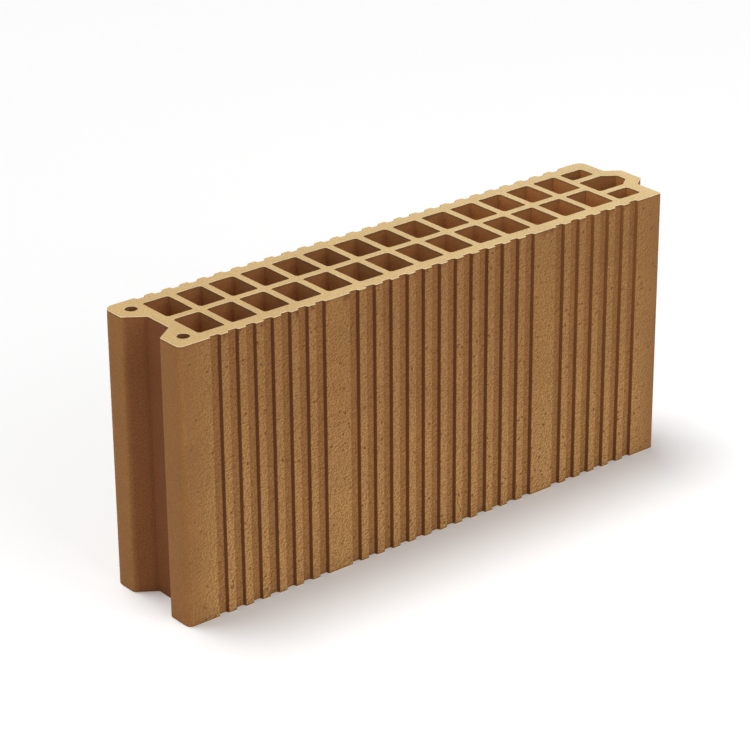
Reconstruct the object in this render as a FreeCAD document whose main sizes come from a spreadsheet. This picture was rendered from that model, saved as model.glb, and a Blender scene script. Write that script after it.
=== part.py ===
import FreeCAD, Part
import Sketcher
import math
import os

# Hollow clay partition block, standing on a bed face as it is laid, with its cells upright.
# X runs along the wall from the recessed end to the tongue, Y across it, Z up.
# The origin is the middle of the bottom bed face, measured over the tongue.

# Driving dimensions in millimetres. Names ending in columns or count are plain numbers.
SIZES = {
    # Overall body
    "laid_length": 500.0,
    "block_thickness": 100.0,
    "block_height": 238.0,
    "back_corner_radius": 8.0,
    "front_recess_corner_radius": 5.0,
    "front_tongue_corner_radius": 2.5,
    # Tongue on one end
    "tongue_projection": 12.4,
    "tongue_root_width": 42.0,
    "tongue_tip_width": 24.0,
    "tongue_tip_radius": 1.5,
    # Recess in the other end, which takes the next block's tongue
    "recess_depth": 16.8,
    "recess_mouth_width": 51.0,
    "recess_floor_width": 27.5,
    "recess_mouth_radius": 3.0,
    "recess_floor_radius": 1.5,
    # Walls and webs left between the cells
    "outer_wall": 13.0,
    "middle_web": 6.8,
    "cross_web": 6.6,
    "recess_wall": 11.1,
    "shoulder_wall": 12.0,
    "cell_columns": 14,
    "cell_corner_radius": 2.3,
    # Tapered cell that lightens the tongue, with a small cell on each side of it
    "nose_cell_width": 26.6,
    "nose_tip_width": 10.4,
    "nose_setback": 10.0,
    "nose_wall": 11.4,
    "nose_web": 7.0,
    # Round holes through the horns beside the recess
    "hole_diameter": 10.0,
    "hole_inset": 15.7,
    "hole_spacing": 68.0,
    # Scored keying grooves on both long faces
    "score_width": 9.2,
    "score_floor_width": 7.2,
    "score_depth": 3.0,
    "score_recess_margin": 34.0,
    "score_tongue_margin": 32.0,
    "score_count": 27,
    "score_left_count": 7,
    "score_middle_count": 12,
}

# Places and sizes that follow from the driving dimensions.
LAYOUT = {
    "recess_end": "=-(laid_length + tongue_projection) / 2",
    "recess_floor": "=recess_end + recess_depth",
    "shoulder": "=recess_end + laid_length",
    "tongue_tip": "=shoulder + tongue_projection",
    "face": "=block_thickness / 2",
    "cell_outer": "=face - outer_wall",
    "cell_inner": "=middle_web / 2",
    "first_cell": "=recess_floor + recess_wall",
    "cell_run": "=shoulder - shoulder_wall - first_cell",
    "cell_length": "=(cell_run - cell_columns * cross_web) / (cell_columns + 1)",
    "cell_pitch": "=cell_length + cross_web",
    "nose_start": "=first_cell + cell_columns * cell_pitch",
    "nose_taper": "=shoulder - nose_setback",
    "nose_end": "=tongue_tip - nose_wall",
    "nose_half": "=nose_cell_width / 2",
    "side_cell_inner": "=nose_half + nose_web",
    "hole_place": "=recess_end + hole_inset",
    "score_start": "=recess_end + score_recess_margin",
    "score_pitch": "=(laid_length - score_recess_margin - score_tongue_margin) / (score_count - 1)",
    "score_floor_half": "=score_floor_width / 2",
    "score_outside_half": "=score_width - score_floor_half",
    "score_middle_place": "=score_left_count + 1",
    "score_right_place": "=score_middle_place + score_middle_count + 1",
    "score_right_count": "=score_count - score_right_place",
}

doc = FreeCAD.newDocument("HollowClayBlock")
sheet = doc.addObject("Spreadsheet::Sheet", "Sizes")
for row, (alias, content) in enumerate({**SIZES, **LAYOUT}.items(), start=1):
    sheet.set(f"A{row}", alias)
    sheet.set(f"B{row}", str(content))
    sheet.setAlias(f"B{row}", alias)
doc.recompute()

body = doc.addObject("PartDesign::Body", "ClayBlock")
body.Label = "clay_block"
bed_plane = next(item for item in body.Origin.OriginFeatures if item.Role == "XY_Plane")


def new_sketch(name):
    """A sketch on the bottom bed face."""
    sketch = body.newObject("Sketcher::SketchObject", name)
    sketch.AttachmentSupport = (bed_plane, "")
    sketch.MapMode = "FlatFace"
    return sketch


def constrain(sketch, formula, *terms):
    """Add a dimension whose value follows a formula of the sheet."""
    value = float(sketch.evalExpression(formula))
    index = sketch.addConstraint(Sketcher.Constraint(*terms, value))
    sketch.setExpression(f"Constraints[{index}]", formula)


def place_point(sketch, geometry, position, x_formula, y_formula):
    """Hold one point of the sketch at a place measured from the origin."""
    constrain(sketch, x_formula, "DistanceX", -1, 1, geometry, position)
    constrain(sketch, y_formula, "DistanceY", -1, 1, geometry, position)


def draw_outline(sketch, corners):
    """Draw a closed outline, counter-clockwise, through corners given as x, y and radius formulas.

    A corner whose radius is None stays sharp. A rounded one keeps its sharp point as construction.
    """
    count = len(corners)
    sharp = []
    for x_formula, y_formula, _ in corners:
        x = float(sketch.evalExpression(x_formula))
        y = float(sketch.evalExpression(y_formula))
        sharp.append(FreeCAD.Vector(x, y, 0))
    arrivals = list(sharp)
    departures = list(sharp)
    arcs = [None] * count
    for index, (_, _, radius_formula) in enumerate(corners):
        if radius_formula is None:
            continue
        corner = sharp[index]
        back = (sharp[index - 1] - corner).normalize()
        ahead = (sharp[(index + 1) % count] - corner).normalize()
        radius = float(sketch.evalExpression(radius_formula))
        half_angle = back.getAngle(ahead) / 2
        arrivals[index] = corner + back * (radius / math.tan(half_angle))
        departures[index] = corner + ahead * (radius / math.tan(half_angle))
        centre = corner + (back + ahead).normalize() * (radius / math.sin(half_angle))
        turns_left = ahead.cross(back).z > 0
        ends = [arrivals[index], departures[index]] if turns_left else [departures[index], arrivals[index]]
        start, stop = [math.atan2(end.y - centre.y, end.x - centre.x) for end in ends]
        if stop < start:
            stop += 2 * math.pi
        circle = Part.Circle(centre, FreeCAD.Vector(0, 0, 1), radius)
        arcs[index] = (Part.ArcOfCircle(circle, start, stop), turns_left)

    lines = []
    for index in range(count):
        segment = Part.LineSegment(departures[index], arrivals[(index + 1) % count])
        lines.append(sketch.addGeometry(segment, False))
    for index, (x_formula, y_formula, radius_formula) in enumerate(corners):
        arriving = lines[index - 1]
        leaving = lines[index]
        if radius_formula is None:
            sketch.addConstraint(Sketcher.Constraint("Coincident", arriving, 2, leaving, 1))
            place_point(sketch, leaving, 1, x_formula, y_formula)
            continue
        curve, turns_left = arcs[index]
        arc = sketch.addGeometry(curve, False)
        point = sketch.addGeometry(Part.Point(sharp[index]), True)
        first, last = (1, 2) if turns_left else (2, 1)
        sketch.addConstraint(Sketcher.Constraint("Tangent", arriving, 2, arc, first))
        sketch.addConstraint(Sketcher.Constraint("Tangent", leaving, 1, arc, last))
        sketch.addConstraint(Sketcher.Constraint("PointOnObject", point, 1, arriving))
        sketch.addConstraint(Sketcher.Constraint("PointOnObject", point, 1, leaving))
        constrain(sketch, radius_formula, "Radius", arc)
        place_point(sketch, point, 1, x_formula, y_formula)


def draw_cell(sketch, x_low, x_high, y_low, y_high):
    """Draw one rectangular cell with rounded corners."""
    radius = "Sizes.cell_corner_radius"
    draw_outline(sketch, [
        (x_low, y_low, radius),
        (x_high, y_low, radius),
        (x_high, y_high, radius),
        (x_low, y_high, radius),
    ])


def cut_through(name, sketch):
    """Cut a sketch upwards through the whole height of the block."""
    pocket = body.newObject("PartDesign::Pocket", name)
    pocket.Profile = sketch
    pocket.Type = "ThroughAll"
    pocket.Reversed = True
    return pocket


def repeat_along_length(name, pocket, count, pitch):
    """Repeat a cut along the length of the block."""
    pattern = body.newObject("PartDesign::LinearPattern", name)
    pattern.Originals = [pocket]
    pattern.Direction = (pocket.Profile[0], ["H_Axis"])
    pattern.Mode = "Spacing"
    pattern.setExpression("Occurrences", count)
    pattern.setExpression("Offset", pitch)
    body.Tip = pattern
    return pattern


# Column of clay: the outer section with its tongue and its recess, without cells.
outline = new_sketch("BlockOutline")
draw_outline(outline, [
    ("Sizes.recess_end", "-Sizes.face", "Sizes.front_recess_corner_radius"),
    ("Sizes.shoulder", "-Sizes.face", "Sizes.front_tongue_corner_radius"),
    ("Sizes.shoulder", "-Sizes.tongue_root_width / 2", None),
    ("Sizes.tongue_tip", "-Sizes.tongue_tip_width / 2", "Sizes.tongue_tip_radius"),
    ("Sizes.tongue_tip", "Sizes.tongue_tip_width / 2", "Sizes.tongue_tip_radius"),
    ("Sizes.shoulder", "Sizes.tongue_root_width / 2", None),
    ("Sizes.shoulder", "Sizes.face", "Sizes.back_corner_radius"),
    ("Sizes.recess_end", "Sizes.face", "Sizes.back_corner_radius"),
    ("Sizes.recess_end", "Sizes.recess_mouth_width / 2", "Sizes.recess_mouth_radius"),
    ("Sizes.recess_floor", "Sizes.recess_floor_width / 2", "Sizes.recess_floor_radius"),
    ("Sizes.recess_floor", "-Sizes.recess_floor_width / 2", "Sizes.recess_floor_radius"),
    ("Sizes.recess_end", "-Sizes.recess_mouth_width / 2", "Sizes.recess_mouth_radius"),
])
column = body.newObject("PartDesign::Pad", "Column")
column.Profile = outline
column.setExpression("Length", "Sizes.block_height")
features = [column]

# Keying grooves: one run on the back face, and three on the front with a plain band between runs.
# The flanks of a groove's outline run on past the face, as far as its floor lies behind it.
SCORE_RUNS = (
    ("Back", 1, "0", "Sizes.score_count"),
    ("FrontLeft", -1, "0", "Sizes.score_left_count"),
    ("FrontMiddle", -1, "Sizes.score_middle_place", "Sizes.score_middle_count"),
    ("FrontRight", -1, "Sizes.score_right_place", "Sizes.score_right_count"),
)
for run, side, place, count in SCORE_RUNS:
    centre = f"Sizes.score_start + {place} * Sizes.score_pitch"
    floor_y = f"{side} * (Sizes.face - Sizes.score_depth)"
    outside_y = f"{side} * (Sizes.face + Sizes.score_depth)"
    across = [
        (f"{centre} - Sizes.score_floor_half", floor_y, None),
        (f"{centre} + Sizes.score_floor_half", floor_y, None),
        (f"{centre} + Sizes.score_outside_half", outside_y, None),
        (f"{centre} - Sizes.score_outside_half", outside_y, None),
    ]
    groove = new_sketch(f"Groove{run}")
    draw_outline(groove, across[::side])
    score = cut_through(f"Score{run}", groove)
    features.append(score)
    features.append(repeat_along_length(f"Scores{run}", score, count, "Sizes.score_pitch"))

# Two rows of cells: one pair, repeated along the block.
pair = new_sketch("CellPair")
cell_end = "Sizes.first_cell + Sizes.cell_length"
draw_cell(pair, "Sizes.first_cell", cell_end, "Sizes.cell_inner", "Sizes.cell_outer")
draw_cell(pair, "Sizes.first_cell", cell_end, "-Sizes.cell_outer", "-Sizes.cell_inner")
cells = cut_through("Cells", pair)
features.append(cells)
features.append(repeat_along_length("CellRows", cells, "Sizes.cell_columns", "Sizes.cell_pitch"))

# End column: a small cell in each corner, and the tapered cell that runs into the tongue.
side_pair = new_sketch("SideCellPair")
side_end = "Sizes.nose_start + Sizes.cell_length"
draw_cell(side_pair, "Sizes.nose_start", side_end, "Sizes.side_cell_inner", "Sizes.cell_outer")
draw_cell(side_pair, "Sizes.nose_start", side_end, "-Sizes.cell_outer", "-Sizes.side_cell_inner")
features.append(cut_through("SideCells", side_pair))

nose = new_sketch("NoseCell")
draw_outline(nose, [
    ("Sizes.nose_start", "-Sizes.nose_half", "Sizes.cell_corner_radius"),
    ("Sizes.nose_taper", "-Sizes.nose_half", "Sizes.cell_corner_radius"),
    ("Sizes.nose_end", "-Sizes.nose_tip_width / 2", "Sizes.cell_corner_radius"),
    ("Sizes.nose_end", "Sizes.nose_tip_width / 2", "Sizes.cell_corner_radius"),
    ("Sizes.nose_taper", "Sizes.nose_half", "Sizes.cell_corner_radius"),
    ("Sizes.nose_start", "Sizes.nose_half", "Sizes.cell_corner_radius"),
])
features.append(cut_through("Nose", nose))

# Round holes through the two horns.
horn_holes = new_sketch("HornHoles")
for side in (-1, 1):
    y_formula = f"{side} * Sizes.hole_spacing / 2"
    x = float(horn_holes.evalExpression("Sizes.hole_place"))
    y = float(horn_holes.evalExpression(y_formula))
    radius = float(horn_holes.evalExpression("Sizes.hole_diameter / 2"))
    circle = Part.Circle(FreeCAD.Vector(x, y, 0), FreeCAD.Vector(0, 0, 1), radius)
    hole = horn_holes.addGeometry(circle, False)
    place_point(horn_holes, hole, 3, "Sizes.hole_place", y_formula)
    constrain(horn_holes, "Sizes.hole_diameter", "Diameter", hole)
features.append(cut_through("Holes", horn_holes))
body.Tip = features[-1]
doc.recompute()

# Every object has to be sound, every sketch fully held, and every cut has to take clay away.
for item in doc.Objects:
    if "Invalid" in item.State or "Error" in item.State:
        raise RuntimeError(f"{item.Name} failed: {item.State}")
    if item.TypeId == "Sketcher::SketchObject" and not item.FullyConstrained:
        raise RuntimeError(f"{item.Name} isn't fully constrained")
for before, after in zip(features, features[1:]):
    if after.Shape.Volume >= before.Shape.Volume:
        raise RuntimeError(f"{after.Name} cuts nothing")
if body.Shape.isNull() or not body.Shape.isValid() or len(body.Shape.Solids) != 1:
    raise RuntimeError("the block isn't one valid solid")

os.makedirs("parts", exist_ok=True)
body.Shape.exportStep(f"parts/{body.Label}.step")
box = body.Shape.BoundBox
print(f"{body.Label}: {box.XLength:.2f} x {box.YLength:.2f} x {box.ZLength:.2f} mm,"
      f" {body.Shape.Volume / 1e6:.3f} litres of clay")
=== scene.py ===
import math
import bpy
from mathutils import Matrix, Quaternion, Vector


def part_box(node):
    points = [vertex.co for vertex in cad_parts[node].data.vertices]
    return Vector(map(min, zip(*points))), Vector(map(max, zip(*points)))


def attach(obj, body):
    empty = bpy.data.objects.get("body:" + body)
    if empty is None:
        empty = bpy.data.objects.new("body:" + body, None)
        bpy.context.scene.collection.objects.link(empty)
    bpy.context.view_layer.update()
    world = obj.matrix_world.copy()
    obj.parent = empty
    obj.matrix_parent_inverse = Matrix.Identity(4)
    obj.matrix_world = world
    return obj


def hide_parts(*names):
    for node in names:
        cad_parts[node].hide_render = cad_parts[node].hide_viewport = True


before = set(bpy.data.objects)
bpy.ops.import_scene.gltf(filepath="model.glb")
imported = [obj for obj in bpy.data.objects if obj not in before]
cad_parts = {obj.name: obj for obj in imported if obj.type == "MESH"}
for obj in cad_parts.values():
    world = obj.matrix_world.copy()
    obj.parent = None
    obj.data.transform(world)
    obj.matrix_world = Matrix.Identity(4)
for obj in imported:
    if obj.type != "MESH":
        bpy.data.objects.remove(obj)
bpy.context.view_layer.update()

# Clay block
# One column of brick clay pushed through a die, cut to height by a wire, dried and fired. The die
# forms the cells, tongue, recess and scored faces and drags a sandy brown skin along the sides.
# The wire leaves the two bed faces paler and finer, with rims that crumble a little.

MM = 0.001
block_low, block_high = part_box("clay_block")
height = block_high.z
face = block_high.y
laid_length = 500.0 * MM
recess_end = block_low.x
shoulder = recess_end + laid_length
tongue_tip = block_high.x

back_corner_radius = 8.0 * MM
front_recess_corner_radius = 5.0 * MM
front_tongue_corner_radius = 2.5 * MM
tongue_root_half = 21.0 * MM
tongue_tip_half = 12.0 * MM
tongue_tip_radius = 1.5 * MM
tongue_root_radius = 1.0 * MM
recess_floor = recess_end + 16.8 * MM
recess_mouth_half = 25.5 * MM
recess_floor_half = 13.75 * MM
recess_mouth_radius = 3.0 * MM
recess_floor_radius = 1.5 * MM

outer_wall = 13.0 * MM
middle_web = 6.8 * MM
cross_web = 6.6 * MM
recess_wall = 11.1 * MM
shoulder_wall = 12.0 * MM
cell_columns = 14
cell_radius = 2.3 * MM
first_cell = recess_floor + recess_wall
cell_run = shoulder - shoulder_wall - first_cell
cell_length = (cell_run - cell_columns * cross_web) / (cell_columns + 1)
cell_pitch = cell_length + cross_web
cell_inner = middle_web / 2
cell_outer = face - outer_wall
cell_width = cell_outer - cell_inner

nose_start = first_cell + cell_columns * cell_pitch
nose_taper = shoulder - 10.0 * MM
nose_end = tongue_tip - 11.4 * MM
nose_half = 13.3 * MM
nose_tip_half = 5.2 * MM
side_cell_inner = nose_half + 7.0 * MM

hole_place = recess_end + 15.7 * MM
hole_offset = 34.0 * MM
hole_radius = 5.0 * MM
hole_sides = 24

score_count = 27
front_plain_bands = (7, 20)
score_start = recess_end + 34.0 * MM
score_stop = shoulder - 32.0 * MM
score_pitch = (score_stop - score_start) / (score_count - 1)
score_half = 4.6 * MM
score_floor_half = 3.6 * MM
score_depth = 3.0 * MM
score_edge_radius = 0.9 * MM
score_floor_radius = 0.8 * MM

rim_radius = 0.6 * MM
rim_steps = 3
ring_spacing = 10.0 * MM
point_spacing = 4.0 * MM
arc_step = math.radians(24.0)
seam_gap = 0.01 * MM
wear_range = (0.42, 0.75)
flat_limit = 0.99


def rounded_loop(corners):
    """Points round a closed outline whose corners are given as x, y and radius."""
    points = []
    count = len(corners)
    for index, (x, y, radius) in enumerate(corners):
        corner = Vector((x, y, 0.0))
        before = Vector((*corners[index - 1][:2], 0.0)) - corner
        after = Vector((*corners[(index + 1) % count][:2], 0.0)) - corner
        before.normalize()
        after.normalize()
        half_angle = before.angle(after) / 2
        turn = math.pi - 2 * half_angle
        centre = corner + (before + after).normalized() * (radius / math.sin(half_angle))
        start = corner + before * (radius / math.tan(half_angle)) - centre
        direction = 1 if before.cross(after).z < 0 else -1
        steps = max(2, math.ceil(turn / arc_step))
        arc = []
        for step in range(steps + 1):
            spin = Quaternion((0, 0, 1), direction * turn * step / steps)
            arc.append(centre + spin @ start)
        if points:
            points += straight_points(points[-1], arc[0])
        points += arc
    return points + straight_points(points[-1], points[0])


def straight_points(start, end):
    """Points between two ends of a straight run, spaced for the wear of its rims."""
    steps = math.ceil((end - start).length / point_spacing)
    return [start.lerp(end, step / steps) for step in range(1, steps)]


def cell_corners(x_low, x_high, y_low, y_high):
    """Corners of one cell, clockwise, so that the clay is on the left all the way round."""
    return [
        (x_low, y_low, cell_radius),
        (x_low, y_high, cell_radius),
        (x_high, y_high, cell_radius),
        (x_high, y_low, cell_radius),
    ]


def score_corners(side, places):
    """Corners of the scored grooves of one long face, in the order that the outline meets them."""
    corners = []
    for place in places:
        centre = score_start + place * score_pitch
        corners += [
            (centre + side * score_half, side * face, score_edge_radius),
            (centre + side * score_floor_half, side * (face - score_depth), score_floor_radius),
            (centre - side * score_floor_half, side * (face - score_depth), score_floor_radius),
            (centre - side * score_half, side * face, score_edge_radius),
        ]
    return corners


def loop_object(name, loops, closed=True):
    """A curve object made of straight-sided loops."""
    curve = bpy.data.curves.new(name, "CURVE")
    curve.dimensions = "3D"
    for loop in loops:
        spline = curve.splines.new("POLY")
        spline.points.add(len(loop) - 1)
        for point, place in zip(spline.points, loop):
            point.co = (*place, 1.0)
        spline.use_cyclic_u = closed
    made = bpy.data.objects.new(name, curve)
    bpy.context.collection.objects.link(made)
    return made


front_places = [place for place in range(score_count) if place not in front_plain_bands]
back_places = list(reversed(range(score_count)))
outline = rounded_loop([
    (recess_end, -face, front_recess_corner_radius),
    *score_corners(-1, front_places),
    (shoulder, -face, front_tongue_corner_radius),
    (shoulder, -tongue_root_half, tongue_root_radius),
    (tongue_tip, -tongue_tip_half, tongue_tip_radius),
    (tongue_tip, tongue_tip_half, tongue_tip_radius),
    (shoulder, tongue_root_half, tongue_root_radius),
    (shoulder, face, back_corner_radius),
    *score_corners(1, back_places),
    (recess_end, face, back_corner_radius),
    (recess_end, recess_mouth_half, recess_mouth_radius),
    (recess_floor, recess_floor_half, recess_floor_radius),
    (recess_floor, -recess_floor_half, recess_floor_radius),
    (recess_end, -recess_mouth_half, recess_mouth_radius),
])
nose_cell = rounded_loop([
    (nose_start, -nose_half, cell_radius),
    (nose_start, nose_half, cell_radius),
    (nose_taper, nose_half, cell_radius),
    (nose_end, nose_tip_half, cell_radius),
    (nose_end, -nose_tip_half, cell_radius),
    (nose_taper, -nose_half, cell_radius),
])
side_cells = []
round_holes = []
for side in (-1, 1):
    y_ends = sorted((side * side_cell_inner, side * cell_outer))
    side_cells.append(rounded_loop(cell_corners(nose_start, nose_start + cell_length, *y_ends)))
    hole = []
    for step in range(hole_sides):
        turn = -2 * math.pi * step / hole_sides
        x = hole_place + hole_radius * math.cos(turn)
        y = side * hole_offset + hole_radius * math.sin(turn)
        hole.append(Vector((x, y, 0.0)))
    round_holes.append(hole)
single_loops = loop_object("block_outline", [outline, nose_cell, *side_cells, *round_holes])
half_length = cell_length / 2
half_width = cell_width / 2
cell_loop = loop_object("cell_outline", [
    rounded_loop(cell_corners(-half_length, half_length, -half_width, half_width)),
])

# The upright profile runs from one bed face to the other, with both rims rounded into the clay.
# On a curve whose normals lie level, minus x of a profile is the left side and minus y is up.
rim = []
for step in range(rim_steps + 1):
    turn = math.pi / 2 * step / rim_steps
    rim.append((rim_radius * (1 - math.sin(turn)), rim_radius * (1 - math.cos(turn))))
ring_count = round((height - 2 * rim_radius) / ring_spacing)
rise = (height - 2 * rim_radius) / ring_count
profile = [Vector((-inset, -level, 0.0)) for inset, level in rim]
profile += [Vector((0.0, -rim_radius - rise * ring, 0.0)) for ring in range(1, ring_count)]
profile += [Vector((-inset, level - height, 0.0)) for inset, level in reversed(rim)]
upright = loop_object("upright_profile", [profile], closed=False)


def add_node(tree, kind, inputs=None, **settings):
    """Add one node with its settings, and set or link its inputs by name or number."""
    node = tree.nodes.new(kind)
    for name, value in settings.items():
        setattr(node, name, value)
    for key, value in (inputs or {}).items():
        if isinstance(value, bpy.types.NodeSocket):
            tree.links.new(value, node.inputs[key])
        else:
            node.inputs[key].default_value = value
    return node


tree = bpy.data.node_groups.new("extruded_block", "GeometryNodeTree")
tree.interface.new_socket("Geometry", in_out="OUTPUT", socket_type="NodeSocketGeometry")
block_inputs = {
    "Single Loops": ("NodeSocketObject", single_loops),
    "Cell Loop": ("NodeSocketObject", cell_loop),
    "Upright": ("NodeSocketObject", upright),
    "Columns": ("NodeSocketInt", cell_columns),
    "Column Pitch": ("NodeSocketFloat", cell_pitch),
    "Row Spacing": ("NodeSocketFloat", cell_inner + cell_outer),
    "Middle of Rows": ("NodeSocketVector", (
        first_cell + cell_length / 2 + (cell_columns - 1) * cell_pitch / 2, 0.0, 0.0)),
    "Height": ("NodeSocketFloat", height),
    "Rim Radius": ("NodeSocketFloat", rim_radius),
    "Wear Depth": ("NodeSocketFloat", 0.45 * MM),
    "Wear Size": ("NodeSocketFloat", 5.0 * MM),
    "Wear Seed": ("NodeSocketFloat", 7.0),
    "Clay": ("NodeSocketMaterial", None),
}
for name, (kind, _) in block_inputs.items():
    tree.interface.new_socket(name, in_out="INPUT", socket_type=kind)
given = add_node(tree, "NodeGroupInput").outputs

# The cells stand in a grid of two rows, each one a copy of the same outline.
singles = add_node(tree, "GeometryNodeObjectInfo", {"Object": given["Single Loops"]})
cell = add_node(tree, "GeometryNodeObjectInfo", {"Object": given["Cell Loop"]})
gaps = add_node(tree, "ShaderNodeMath", {0: given["Columns"], 1: 1.0}, operation="SUBTRACT")
run = add_node(tree, "ShaderNodeMath", {
    0: gaps.outputs[0],
    1: given["Column Pitch"],
}, operation="MULTIPLY")
grid = add_node(tree, "GeometryNodeMeshGrid", {
    "Size X": run.outputs[0],
    "Size Y": given["Row Spacing"],
    "Vertices X": given["Columns"],
    "Vertices Y": 2,
})
rows = add_node(tree, "GeometryNodeTransform", {
    "Geometry": grid.outputs["Mesh"],
    "Translation": given["Middle of Rows"],
})
copies = add_node(tree, "GeometryNodeInstanceOnPoints", {
    "Points": rows.outputs[0],
    "Instance": cell.outputs["Geometry"],
})
cells = add_node(tree, "GeometryNodeRealizeInstances", {"Geometry": copies.outputs[0]})
loops = add_node(tree, "GeometryNodeJoinGeometry")
tree.links.new(singles.outputs["Geometry"], loops.inputs[0])
tree.links.new(cells.outputs[0], loops.inputs[0])

# Every outline is drawn up the height of the block, which leaves both bed faces open.
level_loops = add_node(tree, "GeometryNodeSetCurveNormal", {"Curve": loops.outputs[0]}, mode="Z_UP")
profile_info = add_node(tree, "GeometryNodeObjectInfo", {"Object": given["Upright"]})
swept = add_node(tree, "GeometryNodeCurveToMesh", {
    "Curve": level_loops.outputs[0],
    "Profile Curve": profile_info.outputs["Geometry"],
})
walls = add_node(tree, "GeometryNodeFlipFaces", {"Mesh": swept.outputs[0]})

# Each bed face is filled between the open rims, with the cells left out.
neighbours = add_node(tree, "GeometryNodeInputMeshEdgeNeighbors")
is_open = add_node(tree, "FunctionNodeCompare", {
    2: neighbours.outputs[0],
    3: 1,
}, data_type="INT", operation="EQUAL")
place = add_node(tree, "GeometryNodeInputPosition")
level = add_node(tree, "ShaderNodeSeparateXYZ", {0: place.outputs[0]}).outputs["Z"]
middle = add_node(tree, "ShaderNodeMath", {0: given["Height"], 1: 2.0}, operation="DIVIDE")
faces = [walls.outputs[0]]
for side, comparison in (("top", "GREATER_THAN"), ("bottom", "LESS_THAN")):
    on_side = add_node(tree, "FunctionNodeCompare", {
        0: level,
        1: middle.outputs[0],
    }, data_type="FLOAT", operation=comparison)
    rims = add_node(tree, "FunctionNodeBooleanMath", {
        0: is_open.outputs[0],
        1: on_side.outputs[0],
    }, operation="AND")
    rim_loops = add_node(tree, "GeometryNodeMeshToCurve", {
        "Mesh": walls.outputs[0],
        "Selection": rims.outputs[0],
    })
    bed = add_node(tree, "GeometryNodeFillCurve", {"Curve": rim_loops.outputs[0]}, mode="TRIANGLES")
    if side == "top":
        rise_to_top = add_node(tree, "ShaderNodeCombineXYZ", {"Z": given["Height"]})
        lifted = add_node(tree, "GeometryNodeTransform", {
            "Geometry": bed.outputs[0],
            "Translation": rise_to_top.outputs[0],
        })
        faces.append(lifted.outputs[0])
    else:
        turned = add_node(tree, "GeometryNodeFlipFaces", {"Mesh": bed.outputs[0]})
        faces.append(turned.outputs[0])
shell = add_node(tree, "GeometryNodeJoinGeometry")
for part in faces:
    tree.links.new(part, shell.inputs[0])
closed = add_node(tree, "GeometryNodeMergeByDistance", {
    "Geometry": shell.outputs[0],
    "Distance": seam_gap,
})

# Rims crumble unevenly: points near a bed face sink into the clay where the noise is high.
from_top = add_node(tree, "ShaderNodeMath", {0: given["Height"], 1: level}, operation="SUBTRACT")
from_bed = add_node(tree, "ShaderNodeMath", {0: level, 1: from_top.outputs[0]}, operation="MINIMUM")
near_rim = add_node(tree, "FunctionNodeCompare", {
    0: from_bed.outputs[0],
    1: given["Rim Radius"],
}, data_type="FLOAT", operation="LESS_THAN")
wear_scale = add_node(tree, "ShaderNodeMath", {0: 1.0, 1: given["Wear Size"]}, operation="DIVIDE")
wear_noise = add_node(tree, "ShaderNodeTexNoise", {
    "W": given["Wear Seed"],
    "Scale": wear_scale.outputs[0],
    "Detail": 3.0,
}, noise_dimensions="4D")
wear_share = add_node(tree, "ShaderNodeMapRange", {
    "Value": wear_noise.outputs[0],
    "From Min": wear_range[0],
    "From Max": wear_range[1],
})
wear_depth = add_node(tree, "ShaderNodeMath", {
    0: wear_share.outputs[0],
    1: given["Wear Depth"],
}, operation="MULTIPLY")
outward = add_node(tree, "GeometryNodeInputNormal")
inward = add_node(tree, "ShaderNodeVectorMath", {
    0: outward.outputs[0],
    1: (-1.0, -1.0, 0.0),
}, operation="MULTIPLY")
sink = add_node(tree, "ShaderNodeVectorMath", {
    0: inward.outputs[0],
    "Scale": wear_depth.outputs[0],
}, operation="SCALE")
worn = add_node(tree, "GeometryNodeSetPosition", {
    "Geometry": closed.outputs[0],
    "Selection": near_rim.outputs[0],
    "Offset": sink.outputs[0],
})

# The die leaves the walls and their corners smooth, and the wire leaves the bed faces flat.
upward = add_node(tree, "ShaderNodeSeparateXYZ", {0: outward.outputs[0]}).outputs["Z"]
steepness = add_node(tree, "ShaderNodeMath", {0: upward}, operation="ABSOLUTE")
is_wall = add_node(tree, "FunctionNodeCompare", {
    0: steepness.outputs[0],
    1: flat_limit,
}, data_type="FLOAT", operation="LESS_THAN")
smoothed = add_node(tree, "GeometryNodeSetShadeSmooth", {
    0: worn.outputs[0],
    "Shade Smooth": is_wall.outputs[0],
})
whole = add_node(tree, "GeometryNodeRealizeInstances", {"Geometry": smoothed.outputs[0]})
coated = add_node(tree, "GeometryNodeSetMaterial", {
    "Geometry": whole.outputs[0],
    "Material": given["Clay"],
})
add_node(tree, "NodeGroupOutput", {"Geometry": coated.outputs[0]})


def linear(hex_colour):
    """The linear colour of an sRGB hex value."""
    channels = [int(hex_colour[index:index + 2], 16) / 255 for index in (1, 3, 5)]
    return (*[c / 12.92 if c <= 0.04045 else ((c + 0.055) / 1.055) ** 2.4 for c in channels], 1.0)


# Fired brick clay, with no glaze. The die smears the fine clay into a smooth brown skin, sand in the
# clay is dragged into a rough grain with open pits on the two scored faces, and the wire opens up
# the paler body on the bed faces. All of it is dull, and looks lighter where it is rougher.
skin_colour = linear("#946639")
# In each pair the second colour is painted light: paler at the foot of the scored faces, and at the
# tongue's end for the cells and bed faces.
groove_colours = linear("#8D6036"), linear("#A27344")
# Painted shade: the flanks of the grooves are a much darker brown than the skin.
flank_shade_colours = linear("#663D20"), linear("#724626")
# Painted light on the flanks, at the top of the tongue's end.
flank_light_colour = linear("#8C5C30")
# Painted shade: a dark band on the walls just under each rim.
rim_shade_colour = linear("#6C4024")
# Painted shade inside the recess, on its sides and darker on its floor.
recess_side_shade = linear("#84532F")
recess_floor_shade = linear("#794929")
land_colours = linear("#956B3E"), linear("#B58852")
margin_colours = linear("#8E633A"), linear("#996C40")
# Painted light: the cell walls are paler than the skin, against the shade in the cells.
cell_lightened_colours = linear("#A97141"), linear("#A87441")
cut_colours = linear("#CEAD78"), linear("#DBBE8B")
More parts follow.
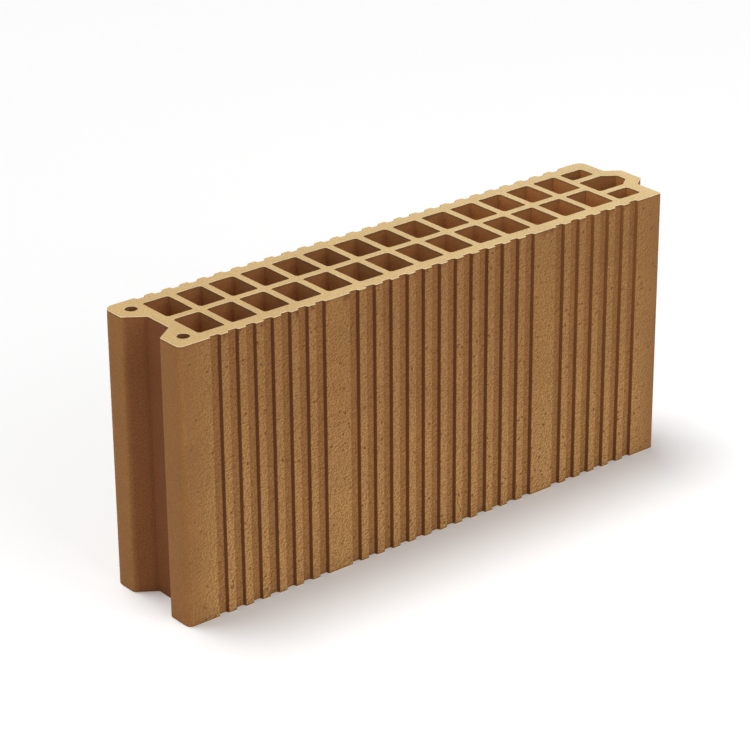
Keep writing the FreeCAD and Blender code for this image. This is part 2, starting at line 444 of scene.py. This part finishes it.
# Painted highlight: a pale line on the rounded rims of the bed faces.
edge_highlight_colour = linear("#F2DDB0")
pit_colour = linear("#5A2814")
fleck_colour = linear("#CC953C")

clay = bpy.data.materials.new("fired_brick_clay")
clay.use_nodes = True
nodes = clay.node_tree
shader = nodes.nodes["Principled BSDF"]
shader.inputs["Specular IOR Level"].default_value = 0.2
texture = add_node(nodes, "ShaderNodeTexCoord").outputs
coords = texture["Object"]
axes = add_node(nodes, "ShaderNodeSeparateXYZ", {0: coords}).outputs

# Zones of the block, worked out from where a point is. A soft zone has the distance that it is read
# from, where its fade starts and stops, and its share at the start and at the stop.
to_top = add_node(nodes, "ShaderNodeMath", {0: height, 1: axes["Z"]}, operation="SUBTRACT")
to_bed = add_node(nodes, "ShaderNodeMath", {0: to_top.outputs[0], 1: axes["Z"]}, operation="MINIMUM")
side_reach = add_node(nodes, "ShaderNodeMath", {0: axes["Y"]}, operation="ABSOLUTE")
to_face = add_node(nodes, "ShaderNodeMath", {0: face, 1: side_reach.outputs[0]}, operation="SUBTRACT")
score_middle = (score_start + score_stop) / 2
score_reach = (score_stop - score_start) / 2 + score_half
along = add_node(nodes, "ShaderNodeMath", {0: axes["X"], 1: score_middle}, operation="SUBTRACT")
along_reach = add_node(nodes, "ShaderNodeMath", {0: along.outputs[0]}, operation="ABSOLUTE")
margin_width = 24.0 * MM
soft_zones = {
    "cut": (to_bed, 0.2 * MM, 0.55 * MM, 1.0, 0.0),
    # Painted highlight on the rims.
    "edge": (to_bed, 0.02 * MM, 0.12 * MM, 0.0, 1.0),
    # Painted shade under the rims.
    "rim": (to_bed, 0.5 * MM, 2.2 * MM, 0.55, 0.0),
    "land": (to_face, 0.05 * MM, 0.25 * MM, 1.0, 0.0),
    "flank_top": (to_face, 0.12 * MM, 0.32 * MM, 0.0, 1.0),
    "flank_foot": (to_face, score_depth - 0.2 * MM, score_depth - 0.02 * MM, 1.0, 0.0),
    "margin": (along_reach, score_reach, score_reach + margin_width, 0.0, 1.0),
}
soft = {}
for name, (distance, fade_start, fade_stop, start_share, stop_share) in soft_zones.items():
    soft[name] = add_node(nodes, "ShaderNodeMapRange", {
        "Value": distance.outputs[0],
        "From Min": fade_start,
        "From Max": fade_stop,
        "To Min": start_share,
        "To Max": stop_share,
    })
scored = add_node(nodes, "ShaderNodeMath", {
    0: along_reach.outputs[0],
    1: score_reach,
}, operation="LESS_THAN")
in_grooves = add_node(nodes, "ShaderNodeMath", {
    0: to_face.outputs[0],
    1: 2 * score_depth,
}, operation="LESS_THAN")
groove_zone = add_node(nodes, "ShaderNodeMath", {
    0: in_grooves.outputs[0],
    1: scored.outputs[0],
}, operation="MULTIPLY")
edge_highlight_zone = add_node(nodes, "ShaderNodeMath", {
    0: soft["edge"].outputs[0],
    1: soft["cut"].outputs[0],
}, operation="MULTIPLY")
margin_zone = add_node(nodes, "ShaderNodeMath", {
    0: soft["margin"].outputs[0],
    1: soft["land"].outputs[0],
}, operation="MULTIPLY")
flank_part = add_node(nodes, "ShaderNodeMath", {
    0: soft["flank_top"].outputs[0],
    1: soft["flank_foot"].outputs[0],
}, operation="MULTIPLY")
flank_zone = add_node(nodes, "ShaderNodeMath", {
    0: flank_part.outputs[0],
    1: scored.outputs[0],
}, operation="MULTIPLY")

# A boxed zone has its two ends along the block and its reach to each side of the middle. It goes a
# little past the walls that it colours.
zone_boxes = {
    "recess": (recess_end, recess_floor + 0.5 * MM, recess_mouth_half),
    "cells": (first_cell - 0.2 * MM, shoulder - 1.0 * MM, cell_outer + 0.3 * MM),
    "nose": (nose_taper, nose_end + 0.5 * MM, nose_half),
}
inside = {}
for name, (x_low, x_high, y_reach) in zone_boxes.items():
    from_middle = add_node(nodes, "ShaderNodeMath", {
        0: axes["X"],
        1: (x_low + x_high) / 2,
    }, operation="SUBTRACT")
    x_reach = add_node(nodes, "ShaderNodeMath", {0: from_middle.outputs[0]}, operation="ABSOLUTE")
    x_inside = add_node(nodes, "ShaderNodeMath", {
        0: x_reach.outputs[0],
        1: (x_high - x_low) / 2,
    }, operation="LESS_THAN")
    y_inside = add_node(nodes, "ShaderNodeMath", {
        0: side_reach.outputs[0],
        1: y_reach,
    }, operation="LESS_THAN")
    both = add_node(nodes, "ShaderNodeMath", {
        0: x_inside.outputs[0],
        1: y_inside.outputs[0],
    }, operation="MULTIPLY")
    inside[name] = both.outputs[0]
# Painted shade that starts just inside the recess mouth and deepens on its floor.
recess_side_fade = (0.5 * MM, 4.0 * MM)
recess_floor_fade = (12.5 * MM, 16.0 * MM)
recess_zones = []
for ramp_start, ramp_stop in (recess_side_fade, recess_floor_fade):
    recess_depth = add_node(nodes, "ShaderNodeMapRange", {
        "Value": axes["X"],
        "From Min": recess_end + ramp_start,
        "From Max": recess_end + ramp_stop,
    })
    recess_part = add_node(nodes, "ShaderNodeMath", {
        0: recess_depth.outputs[0],
        1: inside["recess"],
    }, operation="MULTIPLY")
    recess_zones.append(recess_part)
recess_side_zone, recess_floor_zone = recess_zones
cell_zone = add_node(nodes, "ShaderNodeMath", {
    0: inside["cells"],
    1: inside["nose"],
}, operation="MAXIMUM")
along_block = add_node(nodes, "ShaderNodeMapRange", {
    "Value": axes["X"],
    "From Min": recess_end,
    "From Max": shoulder,
})

# Painted light: the scored faces are painted paler towards the foot, and the bed faces and the cells
# paler towards the tongue. The webs near the tongue are painted palest on the side that faces the
# recess, as if lit from that end, and the flanks of the grooves paler at the top of the tongue's end.
# A Mix node is set by number: 0 is the share, 2 and 3 are its values, 6 and 7 its colours.
foot_light_curve = 1.85
cell_light_depth = 22.0 * MM
cell_light_tones = (0.8, 1.6)
web_light_run = (0.45, 0.9)
web_light_tones = (0.9, 1.75)
recess_facing = (-0.62, -0.85)
flank_light_run = (0.6, 1.0)
down_share = add_node(nodes, "ShaderNodeMath", {0: to_top.outputs[0], 1: height}, operation="DIVIDE")
down_curve = add_node(nodes, "ShaderNodeMath", {
    0: down_share.outputs[0],
    1: foot_light_curve,
}, operation="POWER")
# Painted light: each pair is mixed from its shaded tone to its lit tone, down the face or along the
# block.
painted_light_tones = {
    "grooves": (down_curve, groove_colours),
    "flanks": (down_curve, flank_shade_colours),
    "lands": (down_curve, land_colours),
    "margins": (down_curve, margin_colours),
    "cells": (along_block, cell_lightened_colours),
    "beds": (along_block, cut_colours),
}
painted_light_mix = {}
for name, (light_share, (shaded_tone, lit_tone)) in painted_light_tones.items():
    light_mix = add_node(nodes, "ShaderNodeMix", {
        0: light_share.outputs[0],
        6: shaded_tone,
        7: lit_tone,
    }, data_type="RGBA")
    painted_light_mix[name] = light_mix.outputs[2]
up_share = add_node(nodes, "ShaderNodeMath", {0: axes["Z"], 1: height}, operation="DIVIDE")
# Painted light: the flanks get paler upwards towards the tongue's end.
flank_light_reach = add_node(nodes, "ShaderNodeMapRange", {
    "Value": along_block.outputs[0],
    "From Min": flank_light_run[0],
    "From Max": flank_light_run[1],
})
flank_light_share = add_node(nodes, "ShaderNodeMath", {
    0: flank_light_reach.outputs[0],
    1: up_share.outputs[0],
}, operation="MULTIPLY")
painted_flanks = add_node(nodes, "ShaderNodeMix", {
    0: flank_light_share.outputs[0],
    6: painted_light_mix["flanks"],
    7: flank_light_colour,
}, data_type="RGBA")
# Painted light: the cell walls get paler with depth below the bed faces, against the shade deep in the
# cells.
depth_light = add_node(nodes, "ShaderNodeMapRange", {
    "Value": to_bed.outputs[0],
    "From Max": cell_light_depth,
    "To Min": cell_light_tones[0],
    "To Max": cell_light_tones[1],
})
web_light = add_node(nodes, "ShaderNodeMapRange", {
    "Value": along_block.outputs[0],
    "From Min": web_light_run[0],
    "From Max": web_light_run[1],
    "To Min": web_light_tones[0],
    "To Max": web_light_tones[1],
})
# Painted light: cell walls near the tongue that face the recess end are made paler, as if lit from
# that end.
wall_facing = add_node(nodes, "ShaderNodeSeparateXYZ", {0: texture["Normal"]}).outputs
faces_recess = add_node(nodes, "ShaderNodeMapRange", {
    "Value": wall_facing["X"],
    "From Min": recess_facing[0],
    "From Max": recess_facing[1],
})
wall_light = add_node(nodes, "ShaderNodeMix", {
    0: faces_recess.outputs[0],
    2: 1.0,
    3: web_light.outputs[0],
})
cell_light = add_node(nodes, "ShaderNodeMath", {
    0: depth_light.outputs[0],
    1: wall_light.outputs[0],
}, operation="MULTIPLY")
deep_cells = add_node(nodes, "ShaderNodeVectorMath", {
    0: painted_light_mix["cells"],
    "Scale": cell_light.outputs[0],
}, operation="SCALE")

# Each layer is laid over the one before it: its zone, its colour, the share of the sand it shows and
# the share of pits and flecks that are open in it.
layers = [
    (groove_zone, painted_light_mix["grooves"], 0.9, 0.5),
    (soft["land"], painted_light_mix["lands"], 1.0, 1.0),
    (margin_zone, painted_light_mix["margins"], 0.4, 0.6),
    # Painted shade on the flanks of the grooves.
    (flank_zone, painted_flanks.outputs[2], 0.35, 0.0),
    # Painted shade in the recess.
    (recess_side_zone, recess_side_shade, 0.4, 0.0),
    (recess_floor_zone, recess_floor_shade, 0.4, 0.0),
    # Painted light on the cell walls.
    (cell_zone, deep_cells.outputs[0], 0.35, 0.0),
    # Painted shade under the rims.
    (soft["rim"], rim_shade_colour, 0.35, 0.0),
    (soft["cut"], painted_light_mix["beds"], 0.4, 0.0),
    # Painted highlight on the rims.
    (edge_highlight_zone, edge_highlight_colour, 0.4, 0.0),
]
zone_colour = skin_colour
sand_share = 0.4
mark_share = 0.0
for layer_zone, layer_colour, layer_sand, layer_marks in layers:
    colour_mix = add_node(nodes, "ShaderNodeMix", {
        0: layer_zone.outputs[0],
        6: zone_colour,
        7: layer_colour,
    }, data_type="RGBA")
    sand_mix = add_node(nodes, "ShaderNodeMix", {
        0: layer_zone.outputs[0],
        2: sand_share,
        3: layer_sand,
    })
    mark_mix = add_node(nodes, "ShaderNodeMix", {
        0: layer_zone.outputs[0],
        2: mark_share,
        3: layer_marks,
    })
    zone_colour = colour_mix.outputs[2]
    sand_share = sand_mix.outputs[0]
    mark_share = mark_mix.outputs[0]

# Patterns: cloudy firing marks, and sand grain of under 1 mm drawn at 1.4 mm so that it shows. Each
# grain
# also has painted relief shade: a copy of the pattern set a little aside is laid against it, so that
# one side of each grain is painted light and the other painted dark.
cloud_size = 45.0 * MM
cloud_range = (0.3, 0.7)
cloud_tones = (0.95, 1.05)
grain_size = 1.4 * MM
grain_stretch = (0.75, 1.0, 0.95)
grain_light_offset = (0.45 * MM, 0.0, -0.5 * MM)
grain_shade = 0.5
grain_tint = (0.65, 1.0, 1.2)
grain_gains = (2.6, 3.3)
grain_relief = 0.5 * MM
clouds = add_node(nodes, "ShaderNodeTexNoise", {
    "Vector": coords,
    "Scale": 1 / cloud_size,
    "Detail": 2.0,
})
stretched = add_node(nodes, "ShaderNodeVectorMath", {
    0: coords,
    1: grain_stretch,
}, operation="MULTIPLY")
grain_aside = add_node(nodes, "ShaderNodeVectorMath", {
    0: stretched.outputs[0],
    1: grain_light_offset,
}, operation="ADD")
grains = []
for grain_place in (stretched.outputs[0], grain_aside.outputs[0]):
    grain_noise = add_node(nodes, "ShaderNodeTexNoise", {
        "Vector": grain_place,
        "Scale": 1 / grain_size,
        "Detail": 2.0,
        "Roughness": 0.6,
    })
    grains.append(grain_noise.outputs[0])
grain, grain_beside = grains

# Pits, where grains of sand were torn out of a scored face, and a few flecks of ochre in the clay.
# About a quarter of the pattern's patches hold a pit, and more where the firing marks are pale. The
# blue share of a patch draws its mark, as red and green follow the place of its middle. Sizes of
# marks are shares of a patch, and a mark fades out at its edge.
patch_size = 6.0 * MM
face_shift = 7.0
pit_clustering = 0.6
mark_fade = (-0.1, 0.05)
mark_strength = 0.65
pit_relief = -0.4 * MM
patch_shift = add_node(nodes, "ShaderNodeMath", {
    0: axes["Y"],
    1: face_shift,
    2: axes["X"],
}, operation="MULTIPLY_ADD")
patch_place = add_node(nodes, "ShaderNodeCombineXYZ", {"X": patch_shift.outputs[0], "Y": axes["Z"]})
patches = add_node(nodes, "ShaderNodeTexVoronoi", {
    "Vector": patch_place.outputs[0],
    "Scale": 1 / patch_size,
}, voronoi_dimensions="2D").outputs
patch_draw = add_node(nodes, "ShaderNodeSeparateColor", {0: patches["Color"]}).outputs["Blue"]
pit_draw = add_node(nodes, "ShaderNodeMath", {
    0: clouds.outputs[0],
    1: pit_clustering,
    2: patch_draw,
}, operation="MULTIPLY_ADD")
mark_kinds = {
    "pits": (pit_draw.outputs[0], 1.02, 1.22, 0.2),
    "flecks": (patch_draw, 0.03, 0.015, 0.13),
}
marks = {}
for name, (draw, draw_start, draw_stop, largest) in mark_kinds.items():
    mark_reach = add_node(nodes, "ShaderNodeMapRange", {
        "Value": draw,
        "From Min": draw_start,
        "From Max": draw_stop,
        "To Min": -mark_fade[1],
        "To Max": largest,
    })
    mark_level = add_node(nodes, "ShaderNodeMath", {
        0: patches["Distance"],
        1: mark_reach.outputs[0],
    }, operation="SUBTRACT")
    mark = add_node(nodes, "ShaderNodeMapRange", {
        "Value": mark_level.outputs[0],
        "From Min": mark_fade[0],
        "From Max": mark_fade[1],
        "To Min": 1.0,
        "To Max": 0.0,
    })
    open_mark = add_node(nodes, "ShaderNodeMath", {
        0: mark.outputs[0],
        1: mark_share,
    }, operation="MULTIPLY")
    marks[name] = open_mark.outputs[0]

# The layers' colour is clouded, grained and then marked.
cloud_light = add_node(nodes, "ShaderNodeMapRange", {
    "Value": clouds.outputs[0],
    "From Min": cloud_range[0],
    "From Max": cloud_range[1],
    "To Min": cloud_tones[0],
    "To Max": cloud_tones[1],
})
toned_colour = add_node(nodes, "ShaderNodeHueSaturation", {
    "Value": cloud_light.outputs[0],
    "Color": zone_colour,
})
# Painted relief shade: the shifted copy of the grain less a share of the grain itself.
grain_pair = add_node(nodes, "ShaderNodeMath", {
    0: grain,
    1: -grain_shade,
    2: grain_beside,
}, operation="MULTIPLY_ADD")
grain_slope = add_node(nodes, "ShaderNodeMath", {
    0: grain_pair.outputs[0],
    1: (1 - grain_shade) / 2,
}, operation="SUBTRACT")
grain_gain = add_node(nodes, "ShaderNodeMapRange", {
    "Value": down_share.outputs[0],
    "To Min": grain_gains[0],
    "To Max": grain_gains[1],
})
grain_strength = add_node(nodes, "ShaderNodeMath", {
    0: sand_share,
    1: grain_gain.outputs[0],
}, operation="MULTIPLY")
grain_light = add_node(nodes, "ShaderNodeMath", {
    0: grain_slope.outputs[0],
    1: grain_strength.outputs[0],
}, operation="MULTIPLY")
grain_colour = add_node(nodes, "ShaderNodeVectorMath", {
    0: grain_light.outputs[0],
    1: grain_tint,
    2: (1.0, 1.0, 1.0),
}, operation="MULTIPLY_ADD")
sandy_colour = add_node(nodes, "ShaderNodeVectorMath", {
    0: toned_colour.outputs[0],
    1: grain_colour.outputs[0],
}, operation="MULTIPLY")
final_colour = sandy_colour.outputs[0]
for name, mark_colour in (("flecks", fleck_colour), ("pits", pit_colour)):
    mark_shade = add_node(nodes, "ShaderNodeMath", {
        0: marks[name],
        1: mark_strength,
    }, operation="MULTIPLY")
    marked_colour = add_node(nodes, "ShaderNodeMix", {
        0: mark_shade.outputs[0],
        6: final_colour,
        7: mark_colour,
    }, data_type="RGBA")
    final_colour = marked_colour.outputs[2]
nodes.links.new(final_colour, shader.inputs["Base Color"])

# The smeared skin is a little smoother than the sandy faces.
roughness_range = (0.84, 0.96)
roughness = add_node(nodes, "ShaderNodeMapRange", {
    "Value": sand_share,
    "To Min": roughness_range[0],
    "To Max": roughness_range[1],
})
nodes.links.new(roughness.outputs[0], shader.inputs["Roughness"])

# Relief: the grain stands up most on the scored faces, and the pits are sunk into them.
grain_depth = add_node(nodes, "ShaderNodeMath", {0: sand_share, 1: grain_relief}, operation="MULTIPLY")
grain_height = add_node(nodes, "ShaderNodeMath", {
    0: grain,
    1: grain_depth.outputs[0],
}, operation="MULTIPLY")
pit_depth = add_node(nodes, "ShaderNodeMath", {
    0: marks["pits"],
    1: pit_relief,
}, operation="MULTIPLY")
relief_height = add_node(nodes, "ShaderNodeMath", {
    0: grain_height.outputs[0],
    1: pit_depth.outputs[0],
}, operation="ADD")
relief = add_node(nodes, "ShaderNodeBump", {
    "Strength": 1.0,
    "Distance": 1.0,
    "Height": relief_height.outputs[0],
})
nodes.links.new(relief.outputs[0], shader.inputs["Normal"])
block_inputs["Clay"] = ("NodeSocketMaterial", clay)

draft = bpy.data.objects.new("fired_block_draft", bpy.data.meshes.new("fired_block_draft"))
bpy.context.collection.objects.link(draft)
builder = draft.modifiers.new("extruded_block", "NODES")
builder.node_group = tree
for item in tree.interface.items_tree:
    if item.in_out == "INPUT":
        builder[item.identifier] = block_inputs[item.name][1]
bpy.context.view_layer.update()
evaluated = draft.evaluated_get(bpy.context.evaluated_depsgraph_get())
block_mesh = bpy.data.meshes.new_from_object(evaluated)
fired_block = bpy.data.objects.new("fired_block", block_mesh)
bpy.context.collection.objects.link(fired_block)
for helper in (draft, single_loops, cell_loop, upright):
    bpy.data.objects.remove(helper)
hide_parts("clay_block")
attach(fired_block, "root")

# Studio floor
# A plain sheet of white paper that fills the view. It reads as white where the light is open, and
# keeps the block's soft shadow.

floor_half = 4.0
floor_glow = 0.07
floor_mesh = bpy.data.meshes.new("studio_floor")
floor_mesh.from_pydata([
    (-floor_half, -floor_half, 0.0),
    (floor_half, -floor_half, 0.0),
    (floor_half, floor_half, 0.0),
    (-floor_half, floor_half, 0.0),
], [], [(0, 1, 2, 3)])
studio_floor = bpy.data.objects.new("studio_floor", floor_mesh)
bpy.context.collection.objects.link(studio_floor)
paper = bpy.data.materials.new("white_paper")
paper.use_nodes = True
paper_nodes = paper.node_tree
paper_shader = paper_nodes.nodes["Principled BSDF"]
paper_shader.inputs["Base Color"].default_value = linear("#FCFCFC")
paper_shader.inputs["Roughness"].default_value = 1.0
paper_shader.inputs["Specular IOR Level"].default_value = 0.0
paper_shader.inputs["Emission Color"].default_value = linear("#FFFFFF")
paper_path = add_node(paper_nodes, "ShaderNodeLightPath").outputs
paper_direct = add_node(paper_nodes, "ShaderNodeMath", {
    0: paper_path["Is Camera Ray"],
    1: paper_path["Is Glossy Ray"],
}, operation="MAXIMUM")
paper_seen = add_node(paper_nodes, "ShaderNodeMath", {
    0: paper_direct.outputs[0],
    1: paper_path["Is Transmission Ray"],
}, operation="MAXIMUM")
paper_glow = add_node(paper_nodes, "ShaderNodeMath", {
    0: paper_seen.outputs[0],
    1: floor_glow,
}, operation="MULTIPLY")
paper_nodes.links.new(paper_glow.outputs[0], paper_shader.inputs["Emission Strength"])
floor_mesh.materials.append(paper)

# Studio light
# Even daylight all round, with one broad light high behind the block, which casts its soft shadow
# forwards, a wide lamp above the floor in front, and a weak low one that lifts the recessed end.

daylight_strength = 0.32
world = bpy.data.worlds.new("studio_daylight")
world.use_nodes = True
sky_nodes = world.node_tree
sky = sky_nodes.nodes["Background"]
sky.inputs["Color"].default_value = linear("#FFFFFF")
sky_path = add_node(sky_nodes, "ShaderNodeLightPath").outputs
sky_direct = add_node(sky_nodes, "ShaderNodeMath", {
    0: sky_path["Is Camera Ray"],
    1: sky_path["Is Glossy Ray"],
}, operation="MAXIMUM")
sky_seen = add_node(sky_nodes, "ShaderNodeMath", {
    0: sky_direct.outputs[0],
    1: sky_path["Is Transmission Ray"],
}, operation="MAXIMUM")
sky_level = add_node(sky_nodes, "ShaderNodeMapRange", {
    "Value": sky_seen.outputs[0],
    "To Min": daylight_strength,
    "To Max": 1.0,
})
sky_nodes.links.new(sky_level.outputs[0], sky.inputs["Strength"])
bpy.context.scene.world = world
bpy.context.scene.view_settings.view_transform = "Standard"

sun_direction = Vector((0.09, -0.22, -0.97))
sun_data = bpy.data.lights.new("high_light", "SUN")
sun_data.energy = 1.85
sun_data.angle = math.radians(24.0)
sun = bpy.data.objects.new("high_light", sun_data)
sun.location = (0.0, 0.0, 2.0)
sun.rotation_mode = "QUATERNION"
sun.rotation_quaternion = sun_direction.to_track_quat("-Z", "Y")
bpy.context.collection.objects.link(sun)
lamps = {
    "front_lamp": ((0.15, -1.75, 0.90), 1.4, 12.0),
    "end_lamp": ((-1.90, -0.60, 0.50), 1.2, 3.8),
}
for name, (lamp_place, lamp_width, lamp_power) in lamps.items():
    lamp_data = bpy.data.lights.new(name, "AREA")
    lamp_data.shape = "DISK"
    lamp_data.size = lamp_width
    lamp_data.energy = lamp_power
    lamp = bpy.data.objects.new(name, lamp_data)
    lamp.location = lamp_place
    lamp.rotation_mode = "QUATERNION"
    lamp_aim = Vector((0.0, 0.0, height / 2)) - lamp.location
    lamp.rotation_quaternion = lamp_aim.to_track_quat("-Z", "Y")
    bpy.context.collection.objects.link(lamp)

# Camera
# A long lens over two metres away, which looks down on the recessed end and the front face and is
# rolled by under half a degree.

camera_place = Vector((-1.3415, -1.6137, 1.0766))
camera_aim = Vector((0.0068, 0.0432, 0.1066))
camera_roll = math.radians(-0.42)
camera_data = bpy.data.cameras.new("long_lens")
camera_data.sensor_width = 36.0
camera_data.lens = 134.6
camera = bpy.data.objects.new("long_lens", camera_data)
camera.location = camera_place
camera.rotation_mode = "QUATERNION"
camera_level = (camera_aim - camera_place).to_track_quat("-Z", "Y")
camera.rotation_quaternion = camera_level @ Quaternion((0, 0, 1), camera_roll)
bpy.context.collection.objects.link(camera)
bpy.context.scene.camera = camera
